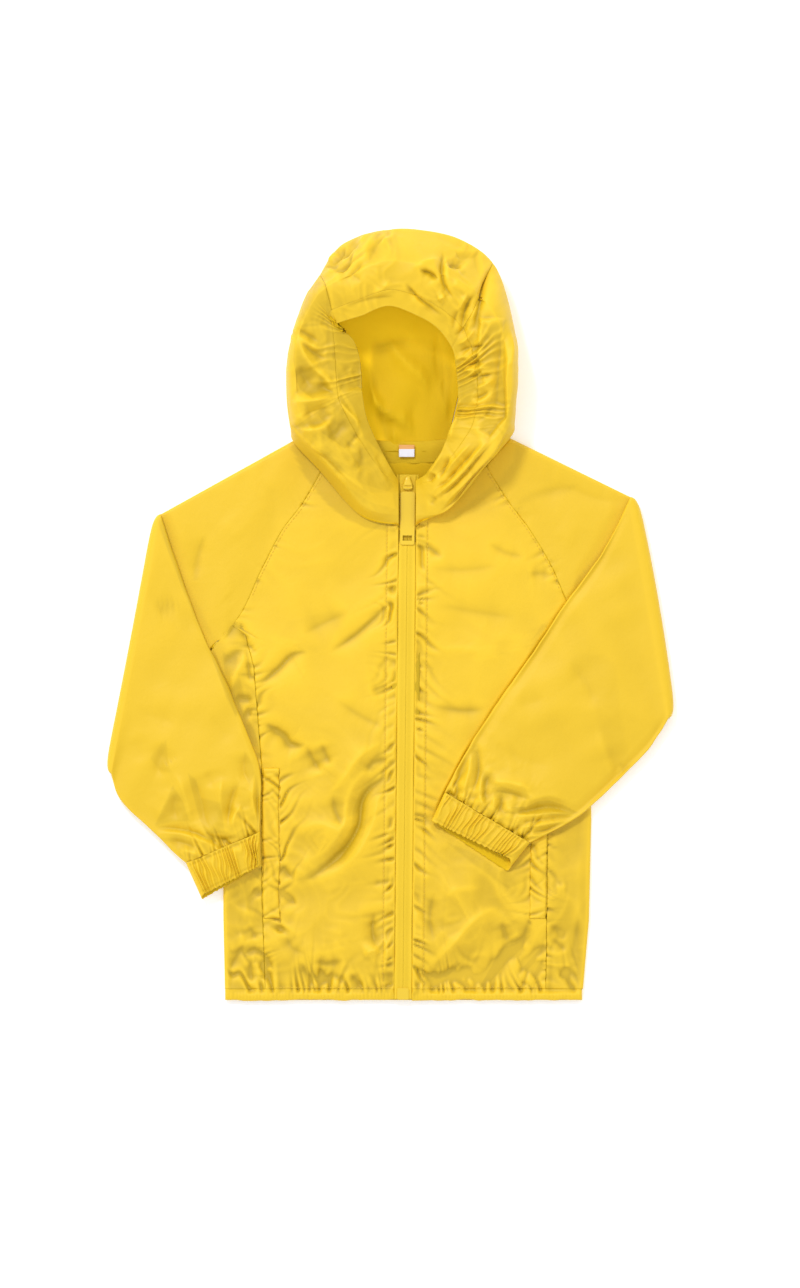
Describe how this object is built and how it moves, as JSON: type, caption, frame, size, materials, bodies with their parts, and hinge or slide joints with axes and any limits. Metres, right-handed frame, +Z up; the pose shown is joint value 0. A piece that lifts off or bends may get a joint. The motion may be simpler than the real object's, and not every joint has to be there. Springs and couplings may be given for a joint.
{
  "type": "windbreaker jacket",
  "caption": "Hooded zip-up windbreaker laid flat on its back, raglan sleeves folded forward over the front, elastic cuffs and hem, welt pockets.",
  "frame": {"origin": "middle of the garment's outline, on the surface it lies on", "axes": "+Z up from the surface through the front, +Y from the hem to the crown of the hood, +X towards the wearer's left"},
  "size_m": [0.4933, 0.6715, 0.0596],
  "materials": {
    "shell": "semi-gloss woven nylon",
    "elastic": "gathered nylon over elastic",
    "tape": "matt woven tape",
    "coil": "satin",
    "hard": "enamelled",
    "label": "matt"
  },
  "bodies": {
    "garment": {"back": "shell", "hem_band": "elastic", "front_right": "shell", "pocket_welt_right": "shell", "sleeve_right": "shell", "cuff_right": "elastic", "hood_side_right": "shell", "front_left": "shell", "pocket_welt_left": "shell", "sleeve_left": "shell", "cuff_left": "elastic", "hood_side_left": "shell", "hood_centre": "shell", "hood_casing": "elastic", "neck_tape": "tape", "size_label": "label", "zip_tape_right": "tape", "zip_tape_left": "tape", "zip_coil": "coil", "zip_slider": "hard", "zip_box": "hard"},
    "pull": {"zip_pull": "hard"}
  },
  "joints": [
    {"name": "pull_hinge", "type": "hinge", "parent": "garment", "child": "pull", "pos_m": [0.0146, 0.1068, 0.0078], "axis": [-1, 0, 0], "range_deg": [0, 120]}
  ]
}
